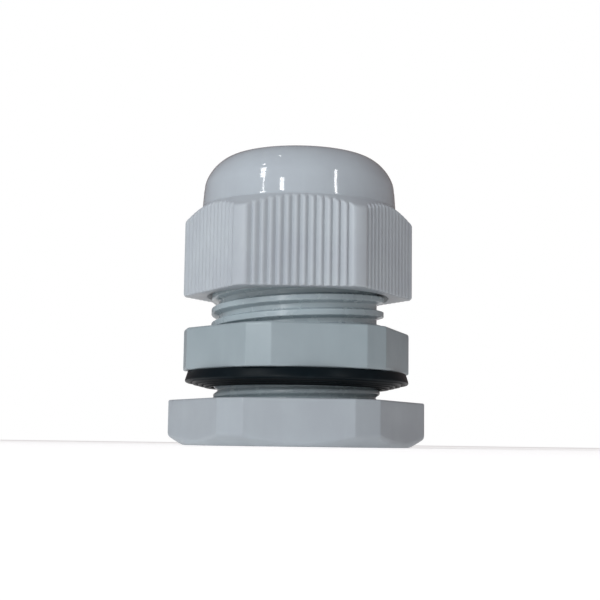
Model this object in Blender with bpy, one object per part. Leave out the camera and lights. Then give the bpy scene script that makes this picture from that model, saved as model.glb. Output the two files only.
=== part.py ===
"""Cable gland of nylon and rubber, PG16 size, with its dome nut part way down its thread.

Frame: metres, +Z up along the cable's axis, origin at the centre of the locknut's underside, front at -Y.
A clock angle is measured from the front towards +X, so it grows anticlockwise seen from above.
"""

import math

import bmesh
import bpy
from mathutils import Matrix, Vector

MM = 0.001
GAP = 0.3 * MM
FULL_TURN = 2 * math.pi
ROUND_STEPS = 48
WELD = 0.0002 * MM
OVERSHOOT = 1 * MM
SLIVER = 0.1 * MM

# Heights of the stack, from the surface that the locknut rests on.
LOCKNUT_TOP = 6.0 * MM
SHANK_BOTTOM = 0.35 * MM
FLANGE_BOTTOM = 9.9 * MM
FLANGE_TOP = 15.55 * MM
NECK_TOP = 26.3 * MM
DOME_NUT_BOTTOM = 20.15 * MM
SKIRT_CORNER_TOP = 30.5 * MM
DOME_FOOT = 32.15 * MM
DOME_SHOULDER = 34.9 * MM
DOME_TOP = 39.3 * MM

# Hexagons with cut-off corners: corner radius, half the corner face's angle, clock angle of a corner.
LOCKNUT_HEX = (17.3 * MM, math.radians(6.28), math.radians(-28.7))
FLANGE_HEX = (15.42 * MM, math.radians(6.35), math.radians(-18.5))
SKIRT_HEX = (15.6 * MM, math.radians(2.7), math.radians(-29.15))

# Edges of the hexagonal pieces.
FLANGE_EDGE = 0.35 * MM
LOCKNUT_EDGE = 0.3 * MM
LOCKNUT_FOOT_RADIUS = 15.3 * MM
LOCKNUT_CONE_HEIGHT = 1.1 * MM

# Ribs of the dome nut's six sides.
RIBS_PER_SIDE = 12
RIB_PITCH = 1.055 * MM
RIB_DEPTH = 0.34 * MM
RIB_LAND = 0.34 * MM
RIB_GROOVE = 0.24 * MM

# Threads: radius at the root and the crest, and the axial width of the ridge there.
NECK_THREAD = {
    "lead": 3.9 * MM,
    "starts": 2,
    "root": 10.8 * MM,
    "crest": 11.75 * MM,
    "base_width": 1.30 * MM,
    "crest_width": 0.74 * MM,
    "phase": 17.0 * MM,
}
SHANK_THREAD = {
    "lead": 25.4 / 18 * MM,
    "starts": 1,
    "root": 10.5 * MM,
    "crest": 11.3 * MM,
    "base_width": 1.05 * MM,
    "crest_width": 0.45 * MM,
    "phase": 7.0 * MM,
}
THREAD_STEPS = 32
THREAD_PLAY = 0.25 * MM
THREAD_END_CHAMFER = 0.6 * MM
FLANK_PLAY = 1.3 * THREAD_PLAY
LOCKNUT_MOUTH = SHANK_THREAD["crest"] + 0.6 * MM
DOME_NUT_MOUTH = NECK_THREAD["crest"] + 0.7 * MM

# Bores and walls.
BORE = 8.3 * MM
SEAT_BORE = 9.6 * MM
SEAT_DEPTH = 18.5 * MM
DOME_OPENING = 7.8 * MM
DOME_FOOT_RADIUS = 13.3 * MM
DOME_SHOULDER_RADIUS = 13.1 * MM
DOME_RIM_RADIUS = 9.2 * MM
DOME_ROUNDNESS = 1.65
DOME_STEPS = 8
LIP_STEPS = 3
DOME_CEILING = 37.4 * MM
NUT_THREAD_TOP = 30.6 * MM
NUT_THREAD_RELIEF = 0.25 * MM

# The hollow under the dome's ceiling: radius, and depth below the ceiling.
DOME_HOLLOW = (
    (9.5 * MM, 0),
    (10.5 * MM, 0.8 * MM),
    (11.1 * MM, 1.9 * MM),
    (11.3 * MM, 3.3 * MM),
)

# Clamping claw: a ring on the neck and fingers that lean in around the seal.
CLAW_RING_BOTTOM = 23.0 * MM
CLAW_FLANGE_BOTTOM = NECK_TOP + GAP
CLAW_RING_TOP = 27.5 * MM
CLAW_INNER = 8.45 * MM
CLAW_OUTER = 10.5 * MM
FINGERS = 12
FINGER_ANGLE = math.radians(24)
FINGER_STEPS = 3
FINGER_FOOT = CLAW_RING_TOP + GAP
FINGER_TIP = 33.2 * MM
FINGER_INNER = 9.3 * MM
FINGER_TIP_CHAMFER = 0.6 * MM
FINGER_HINGE_RADIUS = 9.9 * MM
FINGER_HINGE_HEIGHT = CLAW_RING_TOP + GAP / 2
FINGER_LEAN = math.radians(5.68)

# Rubber seal and sealing washer.
SEAL_BOTTOM = SEAT_DEPTH + GAP
SEAL_TOP = 32.9 * MM
SEAL_BORE = 6.7 * MM
SEAL_OUTER = 8.15 * MM
SEAL_FOOT = 9.3 * MM
SEAL_EDGE = 0.4 * MM
SEAL_LEAD_IN = 0.8 * MM
WASHER_TOP = FLANGE_BOTTOM - GAP
WASHER_RIM_BOTTOM = 8.3 * MM
WASHER_BOTTOM = 7.75 * MM
WASHER_BORE = 11.65 * MM
WASHER_TOP_RADIUS = 14.9 * MM
WASHER_RIM_RADIUS = 15.2 * MM
WASHER_RIM_EDGE = 0.3 * MM
WASHER_LAND = 0.5 * MM
WASHER_RIDGES = 3
WASHER_GROOVE = (0.15 * MM, 0.45 * MM, 0.6 * MM)
WASHER_GROOVE_DEPTH = 0.2 * MM


def clear_scene():
    for obj in list(bpy.data.objects):
        bpy.data.objects.remove(obj, do_unlink=True)


def plastic(name, colour, roughness):
    material = bpy.data.materials.new(name)
    material.use_nodes = True
    shader = material.node_tree.nodes["Principled BSDF"]
    shader.inputs["Base Color"].default_value = (*colour, 1.0)
    shader.inputs["Roughness"].default_value = roughness
    shader.inputs["Metallic"].default_value = 0.0
    return material


def add_object(name, bm, material=None):
    """A mesh object made from bm, with its faces pointing out and its sharp edges kept sharp."""
    bmesh.ops.recalc_face_normals(bm, faces=bm.faces[:])
    mesh = bpy.data.meshes.new(name)
    bm.to_mesh(mesh)
    bm.free()
    if material:
        mesh.materials.append(material)
    obj = bpy.data.objects.new(name, mesh)
    bpy.context.scene.collection.objects.link(obj)
    return obj


def shade(obj):
    obj.data.shade_smooth()
    obj.data.set_sharp_from_angle(angle=math.radians(30))


def at_clock(radius, clock, height):
    return Vector((radius * math.sin(clock), -radius * math.cos(clock), height))


def turned(name, profile, material=None, steps=ROUND_STEPS):
    """A closed (radius, height) outline turned about Z. Points on the axis close the shape there."""
    bm = bmesh.new()
    rings = []
    for radius, height in profile:
        count = steps if radius > 0 else 1
        rings.append([bm.verts.new(at_clock(radius, FULL_TURN * k / steps, height)) for k in range(count)])
    for lower, upper in zip(rings, rings[1:] + rings[:1]):
        for k in range(steps):
            corners = [lower[k % len(lower)], lower[(k + 1) % len(lower)]]
            corners += [upper[(k + 1) % len(upper)], upper[k % len(upper)]]
            corners = list(dict.fromkeys(corners))
            if len(corners) > 2:
                bm.faces.new(corners)
    return add_object(name, bm, material)


def prism(name, outline, bottom, top, material=None):
    """A flat outline of (x, y) points, raised from bottom to top."""
    bm = bmesh.new()
    low = [bm.verts.new((x, y, bottom)) for x, y in outline]
    high = [bm.verts.new((x, y, top)) for x, y in outline]
    bm.faces.new(low)
    bm.faces.new(high)
    for k in range(len(outline)):
        after = (k + 1) % len(outline)
        bm.faces.new((low[k], low[after], high[after], high[k]))
    return add_object(name, bm, material)


def hexagon(radius, half_face, clock):
    """The twelve points of a hexagon whose corners are cut off flat."""
    points = []
    for corner in range(6):
        middle = clock + FULL_TURN * corner / 6
        for side in (-1, 1):
            points.append(at_clock(radius, middle + side * half_face, 0).xy)
    return points


def ribbed_hexagon(radius, half_face, clock):
    """The same hexagon with upright grooves between the ribs on each side."""
    corners = hexagon(radius, half_face, clock)
    outline = []
    for side in range(6):
        start = corners[2 * side + 1]
        end = corners[(2 * side + 2) % 12]
        along = (end - start).normalized()
        outward = Vector((along.y, -along.x))
        middle = (start + end) / 2
        outline += [corners[2 * side], start]
        for groove in range(RIBS_PER_SIDE + 1):
            centre = middle + along * (groove - RIBS_PER_SIDE / 2) * RIB_PITCH
            half_mouth = (RIB_PITCH - RIB_LAND) / 2
            for offset, depth in (
                (-half_mouth, 0),
                (-RIB_GROOVE / 2, RIB_DEPTH),
                (RIB_GROOVE / 2, RIB_DEPTH),
                (half_mouth, 0),
            ):
                outline.append(centre + along * offset - outward * depth)
    return outline


def thread_rod(name, thread, bottom, top, grow=0.0, grow_flanks=0.0):
    """A rod whose skin is the thread, trimmed flat at bottom and top.

    grow widens it all round, and its ridges by grow_flanks, into the cutter for the matching nut.
    """
    lead = thread["lead"]
    pitch = lead / thread["starts"]
    root = thread["root"] + grow
    crest = thread["crest"] + grow
    base = thread["base_width"] + grow_flanks
    land = thread["crest_width"] + grow_flanks
    ridge = ((-base / 2, root), (-land / 2, crest), (land / 2, crest), (base / 2, root))
    first = math.floor((bottom - lead - thread["phase"]) / pitch) - 1
    last = math.ceil((top - thread["phase"]) / pitch) + 1
    column = []
    for turn in range(first, last + 1):
        middle = thread["phase"] + turn * pitch
        column += [(radius, middle + offset) for offset, radius in ridge]
    bm = bmesh.new()
    columns = []
    for k in range(THREAD_STEPS):
        clock = FULL_TURN * k / THREAD_STEPS
        rise = lead * k / THREAD_STEPS
        columns.append([bm.verts.new(at_clock(radius, clock, z + rise)) for radius, z in column])
    count = len(column)
    seam = len(ridge) * thread["starts"]
    for k in range(THREAD_STEPS):
        here = columns[k]
        if k + 1 < THREAD_STEPS:
            there = columns[k + 1]
        else:
            there = columns[0][seam:]
        for i in range(len(there) - 1):
            bm.faces.new((here[i], there[i], there[i + 1], here[i + 1]))
    low_edge = [skin[0] for skin in columns] + columns[0][seam:0:-1]
    high_edge = [skin[-1] for skin in columns[:-1]] + columns[-1][count - 1 : count - seam - 2 : -1]
    for edge in (low_edge, high_edge):
        height = sum(vert.co.z for vert in edge) / len(edge)
        centre = bm.verts.new((0, 0, height))
        for a, b in zip(edge, edge[1:] + edge[:1]):
            bm.faces.new((a, b, centre))
    bmesh.ops.triangulate(bm, faces=bm.faces[:])
    rod = add_object(name, bm)
    reach = crest + OVERSHOOT
    trim = turned(name + "_trim", [(0, bottom), (reach, bottom), (reach, top), (0, top)])
    return combine(rod, trim, "INTERSECT")


def combine(obj, tool, operation):
    """Joins, cuts or intersects obj with the tool, which is then removed.

    The EXACT solver leaves open edges where the long thin faces of a thread cross the other shapes.
    """
    modifier = obj.modifiers.new("combine", "BOOLEAN")
    modifier.operation = operation
    modifier.solver = "MANIFOLD"
    modifier.object = tool
    graph = bpy.context.evaluated_depsgraph_get()
    mesh = bpy.data.meshes.new_from_object(obj.evaluated_get(graph))
    obj.modifiers.clear()
    weld(mesh)
    mesh.name = obj.name
    obj.data = mesh
    bpy.data.objects.remove(tool, do_unlink=True)
    return obj


def weld(mesh):
    """Merges the points that a Boolean leaves on top of each other."""
    bm = bmesh.new()
    bm.from_mesh(mesh)
    bmesh.ops.remove_doubles(bm, verts=bm.verts[:], dist=WELD)
    bmesh.ops.dissolve_degenerate(bm, edges=bm.edges[:], dist=WELD)
    bm.to_mesh(mesh)
    bm.free()


def gland_body(material):
    """The fixed middle: neck with a two-start thread, hexagonal flange, and threaded shank."""
    radius = FLANGE_HEX[0]
    body = prism("gland_body", hexagon(*FLANGE_HEX), FLANGE_BOTTOM, FLANGE_TOP, material)
    edges = [
        (0, FLANGE_BOTTOM - OVERSHOOT),
        (radius + OVERSHOOT, FLANGE_BOTTOM - OVERSHOOT),
        (radius + OVERSHOOT, FLANGE_TOP - FLANGE_EDGE - OVERSHOOT),
        (radius - FLANGE_EDGE - SLIVER, FLANGE_TOP + SLIVER),
        (0, FLANGE_TOP + SLIVER),
    ]
    combine(body, turned("flange_edges", edges), "INTERSECT")
    neck = thread_rod("neck", NECK_THREAD, FLANGE_TOP - OVERSHOOT, NECK_TOP)
    combine(neck, end_chamfer(NECK_THREAD, FLANGE_TOP - 2 * OVERSHOOT, NECK_TOP, 1), "INTERSECT")
    combine(body, neck, "UNION")
    shank = thread_rod("shank", SHANK_THREAD, SHANK_BOTTOM, FLANGE_BOTTOM + OVERSHOOT)
    combine(shank, end_chamfer(SHANK_THREAD, FLANGE_BOTTOM + 2 * OVERSHOOT, SHANK_BOTTOM, -1), "INTERSECT")
    combine(body, shank, "UNION")
    bore = [
        (0, -OVERSHOOT),
        (BORE, -OVERSHOOT),
        (BORE, SEAT_DEPTH),
        (SEAT_BORE, SEAT_DEPTH),
        (SEAT_BORE, NECK_TOP + OVERSHOOT),
        (0, NECK_TOP + OVERSHOOT),
    ]
    combine(body, turned("bore", bore), "DIFFERENCE")
    shade(body)


def end_chamfer(thread, far, near, direction):
    """A round envelope that bevels the thread's end at height near; direction is +1 for a top end."""
    reach = thread["crest"] + OVERSHOOT
    outline = [
        (0, far),
        (reach, far),
        (reach, near - direction * (THREAD_END_CHAMFER + OVERSHOOT)),
        (thread["crest"] - THREAD_END_CHAMFER - SLIVER, near + direction * SLIVER),
        (0, near + direction * SLIVER),
    ]
    return turned("end_chamfer", outline)


def dome_outline():
    """The dome nut's outline: up the skirt, over the dome, in at the cable's opening and down the hollow."""
    wide = SKIRT_HEX[0] + OVERSHOOT
    slope = (SKIRT_HEX[0] - DOME_FOOT_RADIUS) / (DOME_FOOT - SKIRT_CORNER_TOP)
    outline = [
        (DOME_NUT_MOUTH, DOME_NUT_BOTTOM - SLIVER),
        (wide, DOME_NUT_BOTTOM - SLIVER),
        (wide, SKIRT_CORNER_TOP - OVERSHOOT / slope),
        (DOME_FOOT_RADIUS, DOME_FOOT),
    ]
    span = DOME_SHOULDER_RADIUS - DOME_RIM_RADIUS
    rise = DOME_TOP - DOME_SHOULDER
    power = 2 / DOME_ROUNDNESS
    for k in range(DOME_STEPS + 1):
        angle = math.pi / 2 * k / DOME_STEPS
        radius = DOME_RIM_RADIUS + span * max(math.cos(angle), 0) ** power
        outline.append((radius, DOME_SHOULDER + rise * math.sin(angle) ** power))
    lip = DOME_RIM_RADIUS - DOME_OPENING
    for k in range(1, LIP_STEPS + 1):
        angle = math.pi / 2 * k / LIP_STEPS
        outline.append((DOME_RIM_RADIUS - lip * math.sin(angle), DOME_TOP - lip * (1 - math.cos(angle))))
    outline.append((DOME_OPENING, DOME_CEILING))
    outline += [(radius, DOME_CEILING - depth) for radius, depth in DOME_HOLLOW]
    core = NECK_THREAD["root"] - SLIVER
    outline += [
        (DOME_HOLLOW[-1][0], NUT_THREAD_TOP - NUT_THREAD_RELIEF),
        (core, NUT_THREAD_TOP - 2 * NUT_THREAD_RELIEF),
        (core, DOME_NUT_BOTTOM + DOME_NUT_MOUTH - core),
    ]
    return outline


def dome_nut(material):
    """The sealing nut: ribbed hexagonal skirt, round dome, female thread and the hollow above it."""
    nut = prism("dome_nut", ribbed_hexagon(*SKIRT_HEX), DOME_NUT_BOTTOM, DOME_TOP + OVERSHOOT, material)
    combine(nut, turned("dome_outline", dome_outline()), "INTERSECT")
    low = DOME_NUT_BOTTOM - OVERSHOOT
    cutter = thread_rod("nut_thread", NECK_THREAD, low, NUT_THREAD_TOP, THREAD_PLAY, FLANK_PLAY)
    combine(nut, cutter, "DIFFERENCE")
    shade(nut)


def locknut(material):
    """The hexagonal nut that clamps the panel, with a coned underside and a chamfered mouth."""
    wide = LOCKNUT_HEX[0] + SLIVER
    core = SHANK_THREAD["root"] + THREAD_PLAY / 2
    nut = prism("locknut", hexagon(*LOCKNUT_HEX), 0, LOCKNUT_TOP, material)
    outline = [
        (LOCKNUT_MOUTH + SLIVER, -SLIVER),
        (LOCKNUT_FOOT_RADIUS - SLIVER, -SLIVER),
        (wide, LOCKNUT_CONE_HEIGHT),
        (wide, LOCKNUT_TOP - LOCKNUT_EDGE),
        (wide - LOCKNUT_EDGE - SLIVER, LOCKNUT_TOP + SLIVER),
        (LOCKNUT_MOUTH + SLIVER, LOCKNUT_TOP + SLIVER),
        (core, LOCKNUT_TOP + core - LOCKNUT_MOUTH),
        (core, LOCKNUT_MOUTH - core),
    ]
    combine(nut, turned("locknut_outline", outline), "INTERSECT")
    low = -OVERSHOOT
    high = LOCKNUT_TOP + OVERSHOOT
    cutter = thread_rod("locknut_thread", SHANK_THREAD, low, high, THREAD_PLAY, FLANK_PLAY)
    combine(nut, cutter, "DIFFERENCE")
    shade(nut)


def clamping_claw(material):
    outline = [
        (CLAW_INNER, CLAW_RING_BOTTOM),
        (SEAL_FOOT, CLAW_RING_BOTTOM),
        (SEAL_FOOT, CLAW_FLANGE_BOTTOM),
        (CLAW_OUTER, CLAW_FLANGE_BOTTOM),
        (CLAW_OUTER, CLAW_RING_TOP),
        (CLAW_INNER, CLAW_RING_TOP),
    ]
    shade(turned("clamping_claw", outline, material))


def finger_mesh(material):
    """One upright finger at the front, with its hinge axis through the origin, along X."""
    profile = [
        (FINGER_INNER, FINGER_FOOT),
        (CLAW_OUTER, FINGER_FOOT),
        (CLAW_OUTER, FINGER_TIP - FINGER_TIP_CHAMFER),
        (CLAW_OUTER - FINGER_TIP_CHAMFER, FINGER_TIP),
        (FINGER_INNER, FINGER_TIP),
    ]
    hinge = at_clock(FINGER_HINGE_RADIUS, 0, FINGER_HINGE_HEIGHT)
    bm = bmesh.new()
    sections = []
    for k in range(FINGER_STEPS + 1):
        clock = FINGER_ANGLE * (k / FINGER_STEPS - 0.5)
        sections.append([bm.verts.new(at_clock(radius, clock, z) - hinge) for radius, z in profile])
    bm.faces.new(sections[0])
    bm.faces.new(sections[-1])
    for here, there in zip(sections, sections[1:]):
        for i in range(len(profile)):
            after = (i + 1) % len(profile)
            bm.faces.new((here[i], here[after], there[after], there[i]))
    bmesh.ops.recalc_face_normals(bm, faces=bm.faces[:])
    mesh = bpy.data.meshes.new("claw_finger")
    bm.to_mesh(mesh)
    bm.free()
    mesh.materials.append(material)
    return mesh


def claw_fingers(material):
    """The fingers round the ring, each on its own hinge and leaning in as the dome begins to press it."""
    mesh = finger_mesh(material)
    for k in range(FINGERS):
        clock = FULL_TURN * k / FINGERS
        finger = bpy.data.objects.new(f"claw_finger_{k + 1:02d}", mesh)
        hinge = at_clock(FINGER_HINGE_RADIUS, clock, FINGER_HINGE_HEIGHT)
        lean = Matrix.Rotation(-FINGER_LEAN, 4, "X")
        finger.matrix_world = Matrix.Translation(hinge) @ Matrix.Rotation(clock, 4, "Z") @ lean
        bpy.context.scene.collection.objects.link(finger)


def seal_insert(material):
    """The rubber sleeve that the claw squeezes on to the cable."""
    step = CLAW_RING_BOTTOM - GAP
    outline = [
        (SEAL_BORE + SEAL_EDGE, SEAL_BOTTOM),
        (SEAL_FOOT - SEAL_EDGE, SEAL_BOTTOM),
        (SEAL_FOOT, SEAL_BOTTOM + SEAL_EDGE),
        (SEAL_FOOT, step),
        (SEAL_OUTER, step),
        (SEAL_OUTER, SEAL_TOP - SEAL_EDGE),
        (SEAL_OUTER - SEAL_EDGE, SEAL_TOP),
        (SEAL_BORE + SEAL_EDGE, SEAL_TOP),
        (SEAL_BORE, SEAL_TOP - SEAL_LEAD_IN),
        (SEAL_BORE, SEAL_BOTTOM + SEAL_LEAD_IN),
    ]
    shade(turned("seal_insert", outline, material))


def sealing_washer(material):
    """The rubber washer under the flange: a flat top, a rim that flares down, and stepped ridges below."""
    first = WASHER_BORE + WASHER_LAND
    ridge = (WASHER_RIM_RADIUS - WASHER_LAND - first) / WASHER_RIDGES
    drop = (WASHER_RIM_BOTTOM - WASHER_BOTTOM) / WASHER_RIDGES
    outline = [(WASHER_BORE, WASHER_TOP), (WASHER_BORE, WASHER_BOTTOM), (first, WASHER_BOTTOM)]
    for k in range(WASHER_RIDGES):
        inner = first + k * ridge
        level = WASHER_BOTTOM + (k + 1) * drop
        start, middle, end = WASHER_GROOVE
        outline.append((inner + start, level + WASHER_GROOVE_DEPTH))
        outline.append((inner + middle, level + WASHER_GROOVE_DEPTH))
        outline.append((inner + end, level))
        outline.append((inner + ridge, level))
    outline.append((WASHER_RIM_RADIUS, WASHER_RIM_BOTTOM + WASHER_RIM_EDGE))
    outline.append((WASHER_TOP_RADIUS, WASHER_TOP))
    shade(turned("sealing_washer", outline, material))


def main():
    clear_scene()
    nut_nylon = plastic("nut_nylon", (0.45, 0.49, 0.52), 0.42)
    body_nylon = plastic("body_nylon", (0.38, 0.44, 0.46), 0.38)
    claw_nylon = plastic("claw_nylon", (0.50, 0.52, 0.52), 0.45)
    seal_rubber = plastic("seal_rubber", (0.02, 0.022, 0.025), 0.6)
    washer_rubber = plastic("washer_rubber", (0.012, 0.02, 0.025), 0.45)
    gland_body(body_nylon)
    dome_nut(nut_nylon)
    locknut(nut_nylon)
    clamping_claw(claw_nylon)
    claw_fingers(claw_nylon)
    seal_insert(seal_rubber)
    sealing_washer(washer_rubber)


main()
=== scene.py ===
"""The looks of a nylon cable gland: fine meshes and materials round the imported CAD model."""

import math

import bpy
import numpy as np
from mathutils import Matrix, Vector


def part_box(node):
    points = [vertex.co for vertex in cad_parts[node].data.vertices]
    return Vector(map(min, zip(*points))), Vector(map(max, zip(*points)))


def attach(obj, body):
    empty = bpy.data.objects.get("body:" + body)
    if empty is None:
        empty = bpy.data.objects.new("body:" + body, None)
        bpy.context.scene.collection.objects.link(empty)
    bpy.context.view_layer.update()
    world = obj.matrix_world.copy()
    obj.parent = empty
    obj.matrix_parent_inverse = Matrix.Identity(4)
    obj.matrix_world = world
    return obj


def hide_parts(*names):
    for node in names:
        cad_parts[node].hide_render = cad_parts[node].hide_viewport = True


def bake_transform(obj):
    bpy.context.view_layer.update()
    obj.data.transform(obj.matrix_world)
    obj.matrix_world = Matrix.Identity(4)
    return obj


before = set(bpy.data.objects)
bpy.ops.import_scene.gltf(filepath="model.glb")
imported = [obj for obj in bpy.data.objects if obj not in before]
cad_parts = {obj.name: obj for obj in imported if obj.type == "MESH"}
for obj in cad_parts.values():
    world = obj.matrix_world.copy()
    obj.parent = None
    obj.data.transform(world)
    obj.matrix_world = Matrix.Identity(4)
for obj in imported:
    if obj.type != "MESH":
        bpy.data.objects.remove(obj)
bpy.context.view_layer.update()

MM = 0.001
GAP = 0.3 * MM
FULL_TURN = 2 * math.pi

# Heights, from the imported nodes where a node's box gives them.
LOCKNUT_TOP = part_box("locknut")[1].z
SHANK_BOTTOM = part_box("gland_body")[0].z
NECK_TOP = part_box("gland_body")[1].z
DOME_NUT_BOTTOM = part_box("dome_nut")[0].z
DOME_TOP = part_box("dome_nut")[1].z
CLAW_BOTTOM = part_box("clamping_claw")[0].z
CLAW_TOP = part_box("clamping_claw")[1].z
SEAL_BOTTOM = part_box("seal_insert")[0].z
SEAL_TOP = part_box("seal_insert")[1].z
WASHER_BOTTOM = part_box("sealing_washer")[0].z
FLANGE_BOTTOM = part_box("sealing_washer")[1].z + GAP
FLANGE_TOP = FLANGE_BOTTOM + 5.65 * MM
SKIRT_CORNER_TOP = DOME_NUT_BOTTOM + 10.35 * MM
DOME_FOOT = SKIRT_CORNER_TOP + 1.65 * MM
DOME_SHOULDER = DOME_TOP - 4.4 * MM
DOME_CEILING = DOME_TOP - 1.9 * MM
NUT_THREAD_TOP = DOME_NUT_BOTTOM + 10.45 * MM

# Hexagons with cut-off corners: corner radius, half the corner face's angle, clock angle of a corner.
# A clock angle is measured from the front (-Y) towards +X.
LOCKNUT_HEX = (17.28 * MM, math.radians(6.28), math.radians(-28.7))
FLANGE_HEX = (15.42 * MM, math.radians(6.35), math.radians(-18.5))
SKIRT_HEX = (15.6 * MM, math.radians(2.7), math.radians(-29.15))

RIBS_PER_SIDE = 12
RIB_PITCH = 1.055 * MM
RIB_DEPTH = 0.36 * MM
RIB_SHARPNESS = 1.5
RIB_SAMPLES = 8

NECK_THREAD = {
    "lead": 3.9 * MM,
    "starts": 2,
    "root": 10.8 * MM,
    "crest": 11.75 * MM,
    "base": 1.40 * MM,
    "land": 0.66 * MM,
    "phase": 17.0 * MM,
}
SHANK_THREAD = {
    "lead": 25.4 / 18 * MM,
    "starts": 1,
    "root": 10.75 * MM,
    "crest": 11.28 * MM,
    "base": 1.36 * MM,
    "land": 0.30 * MM,
    "phase": 7.0 * MM,
}
THREAD_PLAY = 0.22 * MM
# Height between the rows that draw each thread.
NECK_ROWS = 0.085 * MM
SHANK_ROWS = 0.075 * MM
NUT_ROWS = 0.12 * MM

BORE = 8.3 * MM
SEAT_BORE = 9.6 * MM
SEAT_DEPTH = SEAL_BOTTOM - GAP
DOME_OPENING = 7.8 * MM
DOME_FOOT_RADIUS = 13.3 * MM
DOME_SHOULDER_RADIUS = 13.1 * MM
DOME_RIM_RADIUS = 9.2 * MM
DOME_ROUNDNESS = 1.65
DOME_LIP_DROP = 0.8
# The hollow under the dome's ceiling: radius, and depth below the ceiling.
DOME_HOLLOW = (
    (10.5 * MM, 0.8 * MM),
    (11.1 * MM, 1.9 * MM),
    (11.3 * MM, 3.3 * MM),
)
SEAL_BORE = 6.7 * MM
SEAL_OUTER = 8.15 * MM
SEAL_FOOT = 9.3 * MM
CLAW_INNER = 8.45 * MM
CLAW_OUTER = 10.5 * MM
WASHER_BORE = 11.65 * MM
WASHER_RIM = 15.2 * MM
WASHER_RIDGES = 3
LOCKNUT_FOOT = 15.3 * MM
LOCKNUT_CONE_SLOPE = 0.62
LOCKNUT_SINK = 0.07 * MM
LOCKNUT_SINK_WIDTH = math.radians(13)
LOCKNUT_SINK_OFFSET = math.radians(7)

FINGERS = 12
FINGER_ANGLE = math.radians(24)
FINGER_TIP = CLAW_TOP + 5.7 * MM
FINGER_HINGE = (9.9 * MM, CLAW_TOP + 0.15 * MM)
FINGER_LEAN = math.radians(5.68)
FINGER_THICKNESS = 1.2 * MM
FINGER_WEB = 0.3 * MM
# Sections across half a finger: share of its half angle, and how far the outline is pulled in there.
FINGER_SECTIONS = (
    (0.0, 0.0),
    (0.3, 0.0),
    (0.6, 0.0),
    (0.9, 0.0),
    (0.95, 0.008 * MM),
    (0.985, 0.045 * MM),
    (1.0, 0.12 * MM),
)

# Nylon skins: pigment, its darker shade, roughness where smooth and where worn, and grain.
NYLONS = {
    "nut_nylon": ((0.335, 0.365, 0.39), (0.31, 0.335, 0.365), 0.34, 0.48, 0.25),
    "locknut_nylon": ((0.285, 0.315, 0.34), (0.265, 0.29, 0.315), 0.36, 0.50, 0.25),
    "dome_nylon": ((0.345, 0.38, 0.41), (0.325, 0.355, 0.385), 0.06, 0.09, 0.03),
    "body_nylon": ((0.31, 0.365, 0.39), (0.285, 0.34, 0.365), 0.20, 0.32, 0.2),
    # The flange is the same moulding as the threads, but its pigment is darker: painted shade on the
    # flange.
    "flange_nylon_painted_shade": ((0.245, 0.29, 0.312), (0.225, 0.27, 0.29), 0.34, 0.46, 0.25),
    "claw_nylon": ((0.50, 0.53, 0.54), (0.46, 0.49, 0.50), 0.35, 0.5, 0.25),
}
# Rubber skins: pigment, its dusty shade, roughness where smooth and where dull, and shine.
RUBBERS = {
    "washer_rubber": ((0.002, 0.005, 0.007), (0.007, 0.013, 0.016), 0.32, 0.46, 0.12),
    "seal_rubber": ((0.010, 0.011, 0.012), (0.03, 0.03, 0.032), 0.50, 0.70, 0.5),
}
SPECK_COLOUR = (0.07, 0.075, 0.08)

CAMERA_PLACE = (0.3 * MM, -165 * MM, 0.4 * MM)
CAMERA_TILT = math.radians(6.761)
CAMERA_ROLL = math.radians(0.79)
CAMERA_LENS = 72.72

# Soft lights: name, clock angle and elevation in degrees, width and height, power, colour.
SOFT_LIGHTS = (
    ("key", -30, 28, (1.0, 0.7), 5.9, (0.92, 1.0, 1.05)),
    ("front_fill", -5, 0, (0.5, 0.5), 0.9, (0.93, 0.99, 1.03)),
    ("left_fill", -80, 15, (0.6, 0.8), 1.2, (0.95, 0.99, 1.02)),
    ("right_fill", 75, 10, (0.6, 0.8), 0.1, (1.0, 0.80, 0.78)),
)
# Lamps that the dome mirrors: name, clock angle on the dome, least and greatest lean of its skin there,
# width of the lamp, and its roll.
LAMPS = (
    ("lamp_left_stem", -20.8, -4.0, 6.0, 0.020, 0),
    ("lamp_left_head", -20.8, 6.0, 13.0, 0.100, 10),
    ("lamp_middle", -9.8, -4.0, 4.1, 0.085, 0),
    ("lamp_right", 21.0, 2.0, 11.0, 0.045, -16),
    ("lamp_high_left", -20.8, 20.0, 22.0, 0.040, 0),
    ("lamp_high", -12.0, 35.0, 36.0, 0.025, 0),
)
LAMP_POWER_PER_AREA = 60
SKY_COLOUR = (1.0, 0.80, 0.78)
SKY_STRENGTH = 0.18
FLOOR_HALF = 3.0
FLOOR_GLOW = 0.46


# ---------------------------------------------------------------- mesh helpers


def ring(name, clocks, rows, materials, row_material=None):
    """A closed ring: at each clock angle, rows of (radius, height) go once round its cross-section.

    A row's radius or height is one number, or one for each clock angle.
    """
    count = len(clocks)
    radii = np.array([np.broadcast_to(radius, count) for radius, _ in rows])
    heights = np.array([np.broadcast_to(height, count) for _, height in rows])
    points = np.stack([radii * np.sin(clocks), -radii * np.cos(clocks), heights], axis=-1)
    index = np.arange(len(rows) * count).reshape(len(rows), count)
    after = np.roll(index, -1, axis=1)
    above = np.roll(index, -1, axis=0)
    above_after = np.roll(after, -1, axis=0)
    faces = np.stack([index, after, above_after, above], axis=-1).reshape(-1, 4)
    points = points.reshape(-1, 3)
    corners = points[faces]
    cross = np.cross(corners[:, 2] - corners[:, 0], corners[:, 3] - corners[:, 1])
    if (corners.mean(axis=1) * cross).sum() < 0:
        faces = faces[:, ::-1]
    mesh = bpy.data.meshes.new(name)
    mesh.from_pydata(points.tolist(), [], faces.tolist())
    for material in materials:
        mesh.materials.append(material)
    if row_material:
        chosen = np.repeat([row_material(j) for j in range(len(rows))], count)
        mesh.polygons.foreach_set("material_index", chosen.astype(np.int32))
    return finish_mesh(name, mesh)


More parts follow.
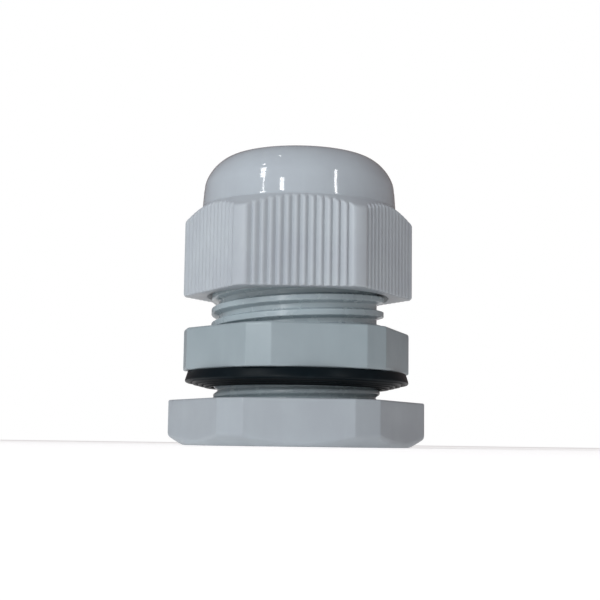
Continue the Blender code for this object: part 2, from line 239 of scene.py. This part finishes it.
def finish_mesh(name, mesh, crease=38):
    """An object of the mesh, shaded smooth except at edges sharper than crease, in degrees."""
    mesh.validate()
    mesh.shade_smooth()
    mesh.set_sharp_from_angle(angle=math.radians(crease))
    obj = bpy.data.objects.new(name, mesh)
    bpy.context.scene.collection.objects.link(obj)
    return obj


def lerp(a, b, t):
    return a + (b - a) * t


def softened(knots, steps=4):
    """Rows along an open outline of (radius, height, rounding) knots. Each rounded knot becomes an arc."""
    rows = []
    for i, (radius, height, rounding) in enumerate(knots):
        if rounding <= 0 or i in (0, len(knots) - 1):
            rows.append((radius, height))
            continue
        ends = []
        for other_radius, other_height, _ in (knots[i - 1], knots[i + 1]):
            length = np.maximum(np.hypot(other_radius - radius, other_height - height), 1e-9)
            share = np.minimum(rounding / length, 0.48)
            ends.append((lerp(radius, other_radius, share), lerp(height, other_height, share)))
        for k in range(steps + 1):
            t = k / steps
            row = []
            for start, middle, end in zip(ends[0], (radius, height), ends[1]):
                row.append(lerp(lerp(start, middle, t), lerp(middle, end, t), t))
            rows.append(tuple(row))
    return rows


def smooth_step(t):
    t = np.clip(t, 0, 1)
    return t * t * (3 - 2 * t)


def thread_radius(thread, clocks, height, grow=0.0):
    """The radius of a right-hand thread's skin; grow widens it into the matching nut's thread."""
    pitch = thread["lead"] / thread["starts"]
    turns = (height - thread["phase"] - thread["lead"] * clocks / FULL_TURN) / pitch
    away = np.abs((turns + 0.5) % 1 - 0.5) * pitch
    base = thread["base"] / 2 + grow * 0.65
    land = thread["land"] / 2 + grow * 0.65
    rise = smooth_step((base - away) / (base - land))
    return thread["root"] + grow + (thread["crest"] - thread["root"]) * rise


def heights_between(start, end, spacing):
    return np.linspace(start, end, int(math.ceil(abs(end - start) / spacing)) + 1)


def side_clocks(hexagon):
    """Clock angles of the middles of a hexagon's six sides."""
    return [hexagon[2] + FULL_TURN * (side + 0.5) / 6 for side in range(6)]


def hexagon_clocks(hexagon, spacing=3.0):
    """Clock angles round a hexagon, closer together at its twelve upright edges."""
    _, half_face, first = hexagon
    near = np.radians([-1.6, -1.0, -0.6, -0.3, -0.1, 0.1, 0.3, 0.6, 1.0, 1.6])
    clocks = list(np.radians(np.arange(0, 360, spacing)))
    for corner in range(6):
        for side in (-1, 1):
            clocks += list(first + FULL_TURN * corner / 6 + side * half_face + near)
    return np.unique(np.round(np.mod(clocks, FULL_TURN), 5))


def wrapped(angle):
    """The same angle, within half a turn of 0."""
    return (angle + math.pi) % FULL_TURN - math.pi


def side_distance(hexagon):
    """How far a hexagon's six sides lie from its axis."""
    radius, half_face, _ = hexagon
    return radius * math.cos(math.pi / 6 - half_face)


def hexagon_radius(hexagon, clocks, softness=0.035 * MM, sunk=0.0):
    """The radius of a hexagon with cut-off corners and slightly rounded upright edges.

    sunk is how far the sides lie inward, one number or one for each clock angle.
    """
    radius, half_face, first = hexagon
    side = side_distance(hexagon) - sunk
    corner = radius * math.cos(half_face)
    total = np.zeros(len(clocks))
    for k in range(12):
        turn = wrapped(clocks - first - FULL_TURN * k / 12)
        reach = side if k % 2 else corner
        seen = np.abs(turn) < math.pi / 3
        distance = reach / np.cos(np.where(seen, turn, 0))
        total += np.where(seen, np.exp((radius - distance) / softness), 0)
    return radius - softness * np.log(total)


def show(obj, body, node):
    """Puts a finished piece on its body in place of its CAD node."""
    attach(obj, body)
    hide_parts(node)
    return obj


# ---------------------------------------------------------------- materials


class Nodes:
    """Short calls for building one material's node tree."""

    def __init__(self, name):
        self.material = bpy.data.materials.new(name)
        self.material.use_nodes = True
        self.tree = self.material.node_tree
        self.shader = self.tree.nodes["Principled BSDF"]
        self.place = self.tree.nodes.new("ShaderNodeTexCoord").outputs["Object"]

    def link(self, output, node, socket):
        self.tree.links.new(output, node.inputs[socket])

    def noise(self, scale, detail=3.0, roughness=0.5, stretch=(1, 1, 1)):
        mapping = self.tree.nodes.new("ShaderNodeMapping")
        mapping.inputs["Scale"].default_value = stretch
        self.link(self.place, mapping, "Vector")
        node = self.tree.nodes.new("ShaderNodeTexNoise")
        node.inputs["Scale"].default_value = scale
        node.inputs["Detail"].default_value = detail
        node.inputs["Roughness"].default_value = roughness
        self.link(mapping.outputs["Vector"], node, "Vector")
        return node.outputs["Fac"]

    def specks(self, scale, size):
        """Sparse dots: 1 in the middle of a few of a pattern's cells, 0 elsewhere."""
        node = self.tree.nodes.new("ShaderNodeTexVoronoi")
        node.inputs["Scale"].default_value = scale
        self.link(self.place, node, "Vector")
        dots = self.ramp(node.outputs["Distance"], size * 0.6, size, 1.0, 0.0)
        chosen = self.tree.nodes.new("ShaderNodeSeparateColor")
        self.link(node.outputs["Color"], chosen, "Color")
        few = self.ramp(chosen.outputs["Red"], 0.955, 0.965, 0.0, 1.0)
        return self.maths("MULTIPLY", dots, few)

    def ramp(self, source, low, high, first, last):
        node = self.tree.nodes.new("ShaderNodeMapRange")
        node.inputs["From Min"].default_value = low
        node.inputs["From Max"].default_value = high
        node.inputs["To Min"].default_value = first
        node.inputs["To Max"].default_value = last
        self.link(source, node, "Value")
        return node.outputs["Result"]

    def maths(self, operation, a, b):
        node = self.tree.nodes.new("ShaderNodeMath")
        node.operation = operation
        for socket, value in enumerate((a, b)):
            if isinstance(value, (int, float)):
                node.inputs[socket].default_value = value
            else:
                self.link(value, node, socket)
        return node.outputs["Value"]

    def mix(self, factor, first, second):
        """Colour first where factor is 0 and second where it is 1; each is a colour or a node's output."""
        node = self.tree.nodes.new("ShaderNodeMix")
        node.data_type = "RGBA"
        self.link(factor, node, "Factor")
        # Inputs 6 and 7 and output 2 are the ones that hold colours.
        for socket, value in ((6, first), (7, second)):
            if isinstance(value, tuple):
                node.inputs[socket].default_value = (*value, 1.0)
            else:
                self.link(value, node, socket)
        return node.outputs[2]

    def bump(self, layers):
        """Chained bumps: (height, distance, strength) for each layer."""
        normal = None
        for height, distance, strength in layers:
            node = self.tree.nodes.new("ShaderNodeBump")
            node.inputs["Distance"].default_value = distance
            node.inputs["Strength"].default_value = strength
            self.link(height, node, "Height")
            if normal:
                self.link(normal, node, "Normal")
            normal = node.outputs["Normal"]
        self.link(normal, self.shader, "Normal")


def nylon(name, colour, shade, smooth, rough, grain, glow=0.06):
    """Moulded nylon: mottled pigment, a few dark specks, and a skin between smooth and rough."""
    nodes = Nodes(name)
    cloud = nodes.noise(170, 4.0, 0.55)
    streak = nodes.noise(420, 3.0, 0.5, (1.0, 1.0, 0.18))
    base = nodes.mix(nodes.ramp(cloud, 0.32, 0.68, 0.0, 1.0), colour, shade)
    pale = tuple(min(1.0, c * 1.07) for c in colour)
    base = nodes.mix(nodes.ramp(streak, 0.52, 0.78, 0.0, 0.45), base, pale)
    base = nodes.mix(nodes.specks(330, 0.05), base, SPECK_COLOUR)
    nodes.link(base, nodes.shader, "Base Color")
    worn = nodes.noise(260, 5.0, 0.6)
    nodes.link(nodes.ramp(worn, 0.3, 0.7, smooth, rough), nodes.shader, "Roughness")
    fine = nodes.noise(3800, 2.0, 0.6)
    broad = nodes.noise(240, 2.0, 0.5)
    nodes.bump([(broad, 0.00006, 0.30), (fine, 0.00002, grain)])
    nodes.shader.inputs["IOR"].default_value = 1.53
    nodes.shader.inputs["Subsurface Weight"].default_value = glow
    nodes.shader.inputs["Subsurface Radius"].default_value = (0.0011, 0.0010, 0.0009)
    nodes.shader.inputs["Subsurface Scale"].default_value = 1.0
    return nodes.material


def rubber(name, colour, dusty, smooth, rough, shine):
    """Black rubber with a little pale dust and a fine grain."""
    nodes = Nodes(name)
    dust = nodes.noise(520, 6.0, 0.7)
    base = nodes.mix(nodes.ramp(dust, 0.52, 0.80, 0.0, 0.6), colour, dusty)
    nodes.link(base, nodes.shader, "Base Color")
    patchy = nodes.noise(300, 4.0, 0.6)
    nodes.link(nodes.ramp(patchy, 0.3, 0.7, smooth, rough), nodes.shader, "Roughness")
    grain = nodes.noise(2600, 4.0, 0.65)
    wave = nodes.noise(380, 2.0, 0.5)
    nodes.bump([(wave, 0.00008, 0.35), (grain, 0.00003, 0.30)])
    nodes.shader.inputs["Specular IOR Level"].default_value = shine
    return nodes.material


# ---------------------------------------------------------------- pieces


def dome_rows():
    """Rows from the dome's foot, up its leaning wall, over the rim and down the lip into the opening."""
    span = DOME_SHOULDER_RADIUS - DOME_RIM_RADIUS
    rise = DOME_TOP - DOME_SHOULDER
    lean = (DOME_FOOT_RADIUS - DOME_SHOULDER_RADIUS) / (DOME_SHOULDER - DOME_FOOT)
    power = 2 / DOME_ROUNDNESS
    softness = 0.05 * MM
    wall_steps = 7
    rim_steps = 28
    lip_steps = 8
    rows = []
    for height in np.linspace(DOME_FOOT, DOME_SHOULDER, wall_steps + 1)[1:-1]:
        rows.append((DOME_SHOULDER_RADIUS + lean * (DOME_SHOULDER - height), height))
    for k in range(rim_steps + 1):
        angle = math.pi / 2 * k / rim_steps
        round_radius = DOME_RIM_RADIUS + span * max(math.cos(angle), 0) ** power
        height = DOME_SHOULDER + rise * math.sin(angle) ** power
        wall_radius = DOME_SHOULDER_RADIUS - lean * (height - DOME_SHOULDER)
        # The rim takes over from the wall where it is the smaller of the two, with the meeting softened.
        smaller = min(round_radius, wall_radius)
        apart = abs(round_radius - wall_radius)
        rows.append((smaller - softness * math.log1p(math.exp(-apart / softness)), height))
    lip = DOME_RIM_RADIUS - DOME_OPENING
    for k in range(1, lip_steps + 1):
        angle = math.pi / 2 * k / lip_steps
        drop = DOME_LIP_DROP * lip * (1 - math.cos(angle))
        rows.append((DOME_RIM_RADIUS - lip * math.sin(angle), DOME_TOP - drop))
    return rows


def rib_clocks():
    """Clock angles across the ribs of each side and over the plain corner pads."""
    first = SKIRT_HEX[2]
    half = RIBS_PER_SIDE * RIB_SAMPLES // 2 + RIB_SAMPLES // 2
    across = np.arange(-half, half + 1) * RIB_PITCH / RIB_SAMPLES
    corner = np.radians([-3.6, -3.3, -3.0, -2.4, 0.0, 2.4, 3.0, 3.3, 3.6])
    clocks = []
    for side, middle in enumerate(side_clocks(SKIRT_HEX)):
        clocks += list(middle + np.arctan2(across, side_distance(SKIRT_HEX)))
        clocks += list(first + FULL_TURN * side / 6 + corner)
    return np.unique(np.round(np.mod(clocks, FULL_TURN), 5))


def rib_depth(clocks):
    """How far the grooves between the ribs cut in, at each clock angle."""
    first = SKIRT_HEX[2]
    nearest = np.round((clocks - first) / (FULL_TURN / 6) - 0.5) + 0.5
    across = np.tan(wrapped(clocks - first - nearest * FULL_TURN / 6)) * side_distance(SKIRT_HEX)
    groove = (0.5 + 0.5 * np.cos(FULL_TURN * across / RIB_PITCH)) ** RIB_SHARPNESS
    ribbed_half = (RIBS_PER_SIDE / 2 + 0.62) * RIB_PITCH
    ribbed = smooth_step((ribbed_half - np.abs(across)) / (0.25 * RIB_PITCH))
    return RIB_DEPTH * groove * ribbed


def make_dome_nut(skirt, gloss):
    """A ribbed skirt coned off at the top, a glossy dome over it, and a hollow with the neck's thread."""
    clocks = rib_clocks()
    corner = SKIRT_HEX[0]
    outside = hexagon_radius(SKIRT_HEX, clocks) - rib_depth(clocks)
    slope = (corner - DOME_FOOT_RADIUS) / (DOME_FOOT - SKIRT_CORNER_TOP)
    cut = SKIRT_CORNER_TOP + (corner - outside) / slope
    mouth = NECK_THREAD["crest"] + 0.7 * MM
    knots = [
        (mouth, DOME_NUT_BOTTOM, 0),
        (mouth + 0.3 * MM, DOME_NUT_BOTTOM, 0),
        (outside, DOME_NUT_BOTTOM, 0.32 * MM),
        (outside, cut, 0.4 * MM),
        (DOME_FOOT_RADIUS, DOME_FOOT, 0.22 * MM),
        (DOME_SHOULDER_RADIUS, DOME_SHOULDER, 0),
    ]
    rows = softened(knots, 5)[:-1]
    # The gloss starts half way round the arc at the dome's foot.
    gloss_start = len(rows) - 3
    rows += dome_rows()
    gloss_end = len(rows)
    inside_knots = [
        (DOME_OPENING, DOME_TOP - 1.2 * MM, 0),
        (DOME_OPENING, DOME_CEILING, 0.2 * MM),
        (9.5 * MM, DOME_CEILING, 0.4 * MM),
    ]
    for radius, depth in DOME_HOLLOW:
        inside_knots.append((radius, DOME_CEILING - depth, 0.5 * MM))
    inside_knots.append((DOME_HOLLOW[-1][0], NUT_THREAD_TOP, 0))
    rows += softened(inside_knots, 3)
    for height in heights_between(NUT_THREAD_TOP, DOME_NUT_BOTTOM + NUT_ROWS, NUT_ROWS):
        inside = thread_radius(NECK_THREAD, clocks, height, THREAD_PLAY)
        funnel = mouth - 0.9 * (height - DOME_NUT_BOTTOM)
        rows.append((np.maximum(inside, funnel), height))
    skins = [skirt, gloss]
    nut = ring("dome_nut_shell", clocks, rows, skins, lambda j: int(gloss_start <= j < gloss_end))
    return show(nut, "dome_nut", "dome_nut")


def make_gland_body(thread_skin, flange_shaded_skin):
    """Threaded shank, hexagonal flange and threaded neck, each thread chamfered at its free end."""
    clocks = hexagon_clocks(FLANGE_HEX, 2.5)
    outside = hexagon_radius(FLANGE_HEX, clocks)
    rows = softened(
        [
            (BORE, SHANK_BOTTOM + MM, 0),
            (BORE, SHANK_BOTTOM, 0.3 * MM),
            (10.0 * MM, SHANK_BOTTOM, 0),
        ]
    )
    for height in heights_between(SHANK_BOTTOM, FLANGE_BOTTOM, SHANK_ROWS):
        chamfer = SHANK_THREAD["crest"] - 0.9 * MM + 1.1 * (height - SHANK_BOTTOM)
        rows.append((np.minimum(thread_radius(SHANK_THREAD, clocks, height), chamfer), height))
    flange_start = len(rows)
    rows += softened(
        [
            (SHANK_THREAD["crest"], FLANGE_BOTTOM, 0),
            (outside, FLANGE_BOTTOM, 0.28 * MM),
            (outside, FLANGE_TOP, 0.42 * MM),
            (NECK_THREAD["crest"] + 0.3 * MM, FLANGE_TOP, 0),
        ]
    )
    flange_end = len(rows)
    for height in heights_between(FLANGE_TOP, NECK_TOP, NECK_ROWS):
        chamfer = NECK_THREAD["crest"] + 0.2 * MM - np.maximum(0, 0.9 * MM - (NECK_TOP - height))
        rows.append((np.minimum(thread_radius(NECK_THREAD, clocks, height), chamfer), height))
    rows += softened(
        [
            (10.7 * MM, NECK_TOP, 0),
            (SEAT_BORE, NECK_TOP, 0.2 * MM),
            (SEAT_BORE, SEAT_DEPTH, 0.2 * MM),
            (BORE, SEAT_DEPTH, 0.3 * MM),
            (BORE, SEAT_DEPTH - MM, 0),
        ]
    )
    # The flange's rows take the darker copy of the body's nylon: painted shade on the flange.
    skins = [thread_skin, flange_shaded_skin]
    body = ring("gland_body_shell", clocks, rows, skins, lambda j: int(flange_start <= j < flange_end))
    return show(body, "gland_body", "gland_body")


def make_locknut(material):
    """A hexagon coned off at its foot, with sides sunk a little by moulding, and the shank's thread."""
    clocks = hexagon_clocks(LOCKNUT_HEX, 2.5)
    mouth = SHANK_THREAD["crest"] + 0.5 * MM
    outside = hexagon_radius(LOCKNUT_HEX, clocks)
    cone = (outside - LOCKNUT_FOOT) * LOCKNUT_CONE_SLOPE
    rows = softened(
        [
            (mouth, 0, 0),
            (mouth + 0.3 * MM, 0, 0),
            (LOCKNUT_FOOT, 0, 0.5 * MM),
            (outside, cone, 0.45 * MM),
            (outside, LOCKNUT_TOP / 2, 0),
        ]
    )[:-1]
    sides = np.array(side_clocks(LOCKNUT_HEX))
    away = np.min(np.abs(wrapped(clocks[:, None] - sides[None, :] + LOCKNUT_SINK_OFFSET)), axis=1)
    sink = LOCKNUT_SINK * np.exp(-((away / LOCKNUT_SINK_WIDTH) ** 2))
    top = LOCKNUT_TOP - 0.45 * MM
    low = cone + 0.5 * MM
    for share in np.linspace(0, 1, 12):
        sunk = sink * math.sin(math.pi * share) ** 2
        rows.append((hexagon_radius(LOCKNUT_HEX, clocks, sunk=sunk), lerp(low, top, share)))
    rows += softened(
        [
            (outside, top, 0),
            (outside, LOCKNUT_TOP, 0.35 * MM),
            (mouth, LOCKNUT_TOP, 0.1 * MM),
            (mouth - 0.3 * MM, LOCKNUT_TOP - 0.3 * MM, 0),
        ]
    )[1:]
    for height in heights_between(LOCKNUT_TOP - 0.35 * MM, 0.1 * MM, SHANK_ROWS):
        inside = thread_radius(SHANK_THREAD, clocks, height, THREAD_PLAY)
        funnel = mouth - 0.9 * min(height, LOCKNUT_TOP - height)
        rows.append((np.maximum(inside, funnel), height))
    nut = ring("locknut_shell", clocks, rows, [material])
    return show(nut, "locknut", "locknut")


def make_sealing_washer(material):
    """Flat on top, with a rim that flares down and ridges that step in and down below it."""
    clocks = np.radians(np.arange(0, 360, 2.0))
    top = FLANGE_BOTTOM - 0.02 * MM
    rim_bottom = WASHER_BOTTOM + 0.56 * MM
    knots = [
        (WASHER_BORE, (top + WASHER_BOTTOM) / 2, 0),
        (WASHER_BORE, top, 0.1 * MM),
        (WASHER_RIM - 0.42 * MM, top, 0.16 * MM),
        (WASHER_RIM, rim_bottom + 0.25 * MM, 0.3 * MM),
        (WASHER_RIM - 0.35 * MM, rim_bottom, 0.2 * MM),
    ]
    first = WASHER_RIM - 0.75 * MM
    ridge = (first - WASHER_BORE - 0.5 * MM) / WASHER_RIDGES
    for k in range(WASHER_RIDGES):
        outer = first - k * ridge
        level = lerp(rim_bottom, WASHER_BOTTOM, (k + 1) / WASHER_RIDGES)
        root = level + 0.62 * MM
        knots += [
            (outer, root, 0.08 * MM),
            (outer - 0.22 * MM, root, 0.08 * MM),
            (outer - 0.34 * MM, level, 0.14 * MM),
            (outer - ridge + 0.08 * MM, level, 0.14 * MM),
        ]
    knots += [(WASHER_BORE, WASHER_BOTTOM, 0.12 * MM), (WASHER_BORE, WASHER_BOTTOM + 0.5 * MM, 0)]
    washer = ring("sealing_washer_ring", clocks, softened(knots, 3), [material])
    return show(washer, "sealing_washer", "sealing_washer")


def make_seal(material):
    """A sleeve with a wider foot in the neck's seat, and shallow rings in its bore that grip the cable."""
    clocks = np.radians(np.arange(0, 360, 2.5))
    step = CLAW_BOTTOM - GAP
    knots = [
        (SEAL_BORE, SEAL_TOP - 4 * MM, 0),
        (SEAL_BORE, SEAL_TOP - 0.9 * MM, 0.5 * MM),
        (SEAL_BORE + 0.45 * MM, SEAL_TOP, 0.3 * MM),
        (SEAL_OUTER, SEAL_TOP, 0.45 * MM),
        (SEAL_OUTER, step, 0.2 * MM),
        (SEAL_FOOT, step, 0.25 * MM),
        (SEAL_FOOT, SEAL_BOTTOM, 0.5 * MM),
        (SEAL_BORE, SEAL_BOTTOM, 0.5 * MM),
        (SEAL_BORE, SEAL_BOTTOM + 3 * MM, 0),
    ]
    grooves = []
    for height in heights_between(SEAL_BOTTOM + 3.2 * MM, SEAL_TOP - 4.2 * MM, 0.15 * MM):
        wave = 0.5 - 0.5 * math.cos(FULL_TURN * (height - SEAL_BOTTOM) / (1.6 * MM))
        grooves.append((SEAL_BORE + 0.16 * MM * wave, height))
    seal = ring("seal_sleeve", clocks, softened(knots, 4) + grooves, [material])
    return show(seal, "seal_insert", "seal_insert")


def make_claw_ring(material):
    """The ring that the fingers grow from, with a flange that sits on the neck."""
    clocks = np.radians(np.arange(0, 360, 2.5))
    ledge = NECK_TOP + 0.05 * MM
    knots = [
        (CLAW_INNER, CLAW_BOTTOM + 2 * MM, 0),
        (CLAW_INNER, CLAW_BOTTOM, 0.25 * MM),
        (SEAL_FOOT, CLAW_BOTTOM, 0.3 * MM),
        (SEAL_FOOT, ledge, 0.1 * MM),
        (CLAW_OUTER, ledge, 0.15 * MM),
        (CLAW_OUTER, CLAW_TOP, 0.2 * MM),
        (CLAW_INNER, CLAW_TOP, 0.2 * MM),
        (CLAW_INNER, CLAW_TOP - MM, 0),
    ]
    claw = ring("claw_ring", clocks, softened(knots, 3), [material])
    return show(claw, "gland_body", "clamping_claw")


def leaned(radius, height):
    """The place of a finger's point after it leans in about its hinge; a point below the hinge stays."""
    hinge_radius, hinge_height = FINGER_HINGE
    lean = FINGER_LEAN if height > hinge_height else 0.0
    out = radius - hinge_radius
    up = height - hinge_height
    inward = hinge_radius + out * math.cos(lean) - up * math.sin(lean)
    risen = hinge_height + up * math.cos(lean) + out * math.sin(lean)
    return inward, risen


def finger_mesh(material):
    """The finger at the front, leaning in above its hinge, with the thin web that joins it to the ring."""
    hinge_radius, hinge_height = FINGER_HINGE
    inner = CLAW_OUTER - FINGER_THICKNESS
    foot = hinge_height + 0.25 * MM
    web_bottom = hinge_height - FINGER_WEB
    web_top = hinge_height + 0.05 * MM
    knots = [
        (hinge_radius, web_bottom, 0),
        (hinge_radius + FINGER_WEB, web_bottom, 0.04 * MM),
        (hinge_radius + FINGER_WEB, web_top, 0.06 * MM),
        (CLAW_OUTER, foot, 0.12 * MM),
        (CLAW_OUTER, FINGER_TIP - 0.7 * MM, 0.4 * MM),
        (CLAW_OUTER - 0.7 * MM, FINGER_TIP, 0.3 * MM),
        (inner, FINGER_TIP, 0.25 * MM),
        (inner, foot, 0.12 * MM),
        (hinge_radius - FINGER_WEB, web_top, 0.06 * MM),
        (hinge_radius - FINGER_WEB, web_bottom, 0.04 * MM),
        (hinge_radius - 0.01 * MM, web_bottom, 0),
    ]
    outline = np.array(softened(knots, 3))
    offset = outline.mean(axis=0) - outline
    length = np.linalg.norm(offset, axis=1, keepdims=True)
    mirrored = [(-share, inset) for share, inset in reversed(FINGER_SECTIONS[1:])]
    sections = mirrored + list(FINGER_SECTIONS)
    points = []
    for share, inset in sections:
        clock = FINGER_ANGLE / 2 * share
        for radius, height in outline + offset / length * inset:
            inward, risen = leaned(radius, height)
            points.append((inward * math.sin(clock), -inward * math.cos(clock), risen))
    size = len(outline)
    faces = [tuple(range(size)), tuple(range(len(points) - 1, len(points) - size - 1, -1))]
    for k in range(len(sections) - 1):
        here = k * size
        there = here + size
        for i in range(size):
            after = (i + 1) % size
            faces.append((here + i, there + i, there + after, here + after))
    mesh = bpy.data.meshes.new("finger")
    mesh.from_pydata(points, [], faces)
    mesh.materials.append(material)
    return mesh


def make_fingers(material):
    """Twelve fingers, each leaning in above the thin web that joins it to the claw's ring."""
    for k in range(FINGERS):
        clock = FULL_TURN * k / FINGERS
        mesh = finger_mesh(material)
        mesh.transform(Matrix.Rotation(clock, 4, "Z"))
        finger = finish_mesh(f"claw_finger_{k + 1:02d}_moulding", mesh, 50)
        node = f"claw_finger_{k + 1:02d}"
        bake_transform(finger)
        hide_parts(node)


# ---------------------------------------------------------------- camera, light and floor


def make_camera():
    """Close in front, level with the locknut's foot, tilted up and rolled a little."""
    right = Vector((1, 0, 0))
    up = Vector((0, -math.sin(CAMERA_TILT), math.cos(CAMERA_TILT)))
    back = Vector((0, -math.cos(CAMERA_TILT), -math.sin(CAMERA_TILT)))
    rolled_right = right * math.cos(CAMERA_ROLL) + up * math.sin(CAMERA_ROLL)
    rolled_up = up * math.cos(CAMERA_ROLL) - right * math.sin(CAMERA_ROLL)
    turn = Matrix((rolled_right, rolled_up, back)).transposed().to_4x4()
    data = bpy.data.cameras.new("camera")
    data.sensor_width = 36
    data.lens = CAMERA_LENS
    data.clip_start = 0.001
    data.clip_end = 50
    camera = bpy.data.objects.new("camera", data)
    camera.matrix_world = Matrix.Translation(CAMERA_PLACE) @ turn
    bpy.context.scene.collection.objects.link(camera)
    bpy.context.scene.camera = camera


def add_area(name, place, target, size, power, colour=(1, 1, 1), roll=0.0):
    """An area light at place that faces target; size is (width, height)."""
    data = bpy.data.lights.new(name, "AREA")
    data.shape = "RECTANGLE"
    data.size, data.size_y = size
    data.energy = power
    data.color = colour
    light = bpy.data.objects.new(name, data)
    aim = (place - target).to_track_quat("Z", "Y").to_matrix().to_4x4()
    turn = aim @ Matrix.Rotation(math.radians(roll), 4, "Z")
    light.matrix_world = Matrix.Translation(place) @ turn
    bpy.context.scene.collection.objects.link(light)
    return light


def add_soft_light(name, clock, elevation, size, power, colour):
    """A large light, a metre from the object, that lights it but leaves no mirror image on it."""
    clock = math.radians(clock)
    rise = math.radians(elevation)
    centre = Vector((0, 0, DOME_TOP / 2))
    flat = math.cos(rise)
    place = centre + Vector((flat * math.sin(clock), -flat * math.cos(clock), math.sin(rise)))
    light = add_area(name, place, centre, size, power, colour)
    light.visible_glossy = False


def add_lamp(name, clock, low, high, width, roll):
    """A small lamp that the dome mirrors at this clock angle, where its skin leans back by low to high."""
    lean = math.radians((low + high) / 2)
    clock = math.radians(clock)
    level = math.cos(lean)
    normal = Vector((math.sin(clock) * level, -math.cos(clock) * level, math.sin(lean)))
    radius = DOME_SHOULDER_RADIUS
    wall = Vector((radius * math.sin(clock), -radius * math.cos(clock), DOME_SHOULDER))
    view = (bpy.context.scene.camera.matrix_world.translation - wall).normalized()
    mirrored = 2 * normal.dot(view) * normal - view
    height = 2 * math.tan(math.radians(high - low))
    power = LAMP_POWER_PER_AREA * width * height
    add_area(name, wall + mirrored, wall, (width, height), power, roll=roll)


def make_lights():
    for values in SOFT_LIGHTS:
        add_soft_light(*values)
    for values in LAMPS:
        add_lamp(*values)


def make_world():
    """White behind the object, and a dim warm sky for its light."""
    world = bpy.data.worlds.new("studio")
    world.use_nodes = True
    tree = world.node_tree
    sky = tree.nodes["Background"]
    sky.inputs["Color"].default_value = (*SKY_COLOUR, 1.0)
    sky.inputs["Strength"].default_value = SKY_STRENGTH
    plain = tree.nodes.new("ShaderNodeBackground")
    plain.inputs["Color"].default_value = (1.0, 1.0, 1.0, 1.0)
    plain.inputs["Strength"].default_value = 1.0
    path = tree.nodes.new("ShaderNodeLightPath")
    mix = tree.nodes.new("ShaderNodeMixShader")
    tree.links.new(path.outputs["Is Camera Ray"], mix.inputs["Fac"])
    tree.links.new(sky.outputs["Background"], mix.inputs[1])
    tree.links.new(plain.outputs["Background"], mix.inputs[2])
    tree.links.new(mix.outputs["Shader"], tree.nodes["World Output"].inputs["Surface"])
    bpy.context.scene.world = world


def make_floor():
    """A plain pale floor under the locknut, glowing a little so that it nearly meets the white behind."""
    mesh = bpy.data.meshes.new("floor")
    corners = [(x * FLOOR_HALF, y * FLOOR_HALF, 0) for x, y in ((-1, -1), (1, -1), (1, 1), (-1, 1))]
    mesh.from_pydata(corners, [], [(0, 1, 2, 3)])
    nodes = Nodes("floor_paint")
    tone = nodes.ramp(nodes.noise(3, 3.0), 0.3, 0.7, 0.0, 1.0)
    nodes.link(nodes.mix(tone, (0.86, 0.86, 0.86), (0.83, 0.83, 0.83)), nodes.shader, "Base Color")
    nodes.shader.inputs["Roughness"].default_value = 0.9
    nodes.shader.inputs["Specular IOR Level"].default_value = 0.2
    nodes.shader.inputs["Emission Color"].default_value = (1.0, 1.0, 1.0, 1.0)
    nodes.shader.inputs["Emission Strength"].default_value = FLOOR_GLOW
    mesh.materials.append(nodes.material)
    floor = bpy.data.objects.new("floor", mesh)
    bpy.context.scene.collection.objects.link(floor)


def make_view():
    """Plain colours, so that white stays white."""
    bpy.context.scene.view_settings.view_transform = "Standard"


def clear_startup():
    for name in ("Cube", "Light", "Camera"):
        startup = bpy.data.objects.get(name)
        if startup:
            bpy.data.objects.remove(startup, do_unlink=True)


def main():
    clear_startup()
    skins = {name: nylon(name, *values) for name, values in NYLONS.items()}
    rubbers = {name: rubber(name, *values) for name, values in RUBBERS.items()}
    make_dome_nut(skins["nut_nylon"], skins["dome_nylon"])
    make_gland_body(skins["body_nylon"], skins["flange_nylon_painted_shade"])
    make_locknut(skins["locknut_nylon"])
    make_sealing_washer(rubbers["washer_rubber"])
    make_seal(rubbers["seal_rubber"])
    make_claw_ring(skins["claw_nylon"])
    make_fingers(skins["claw_nylon"])
    make_camera()
    make_lights()
    make_world()
    make_floor()
    make_view()


main()
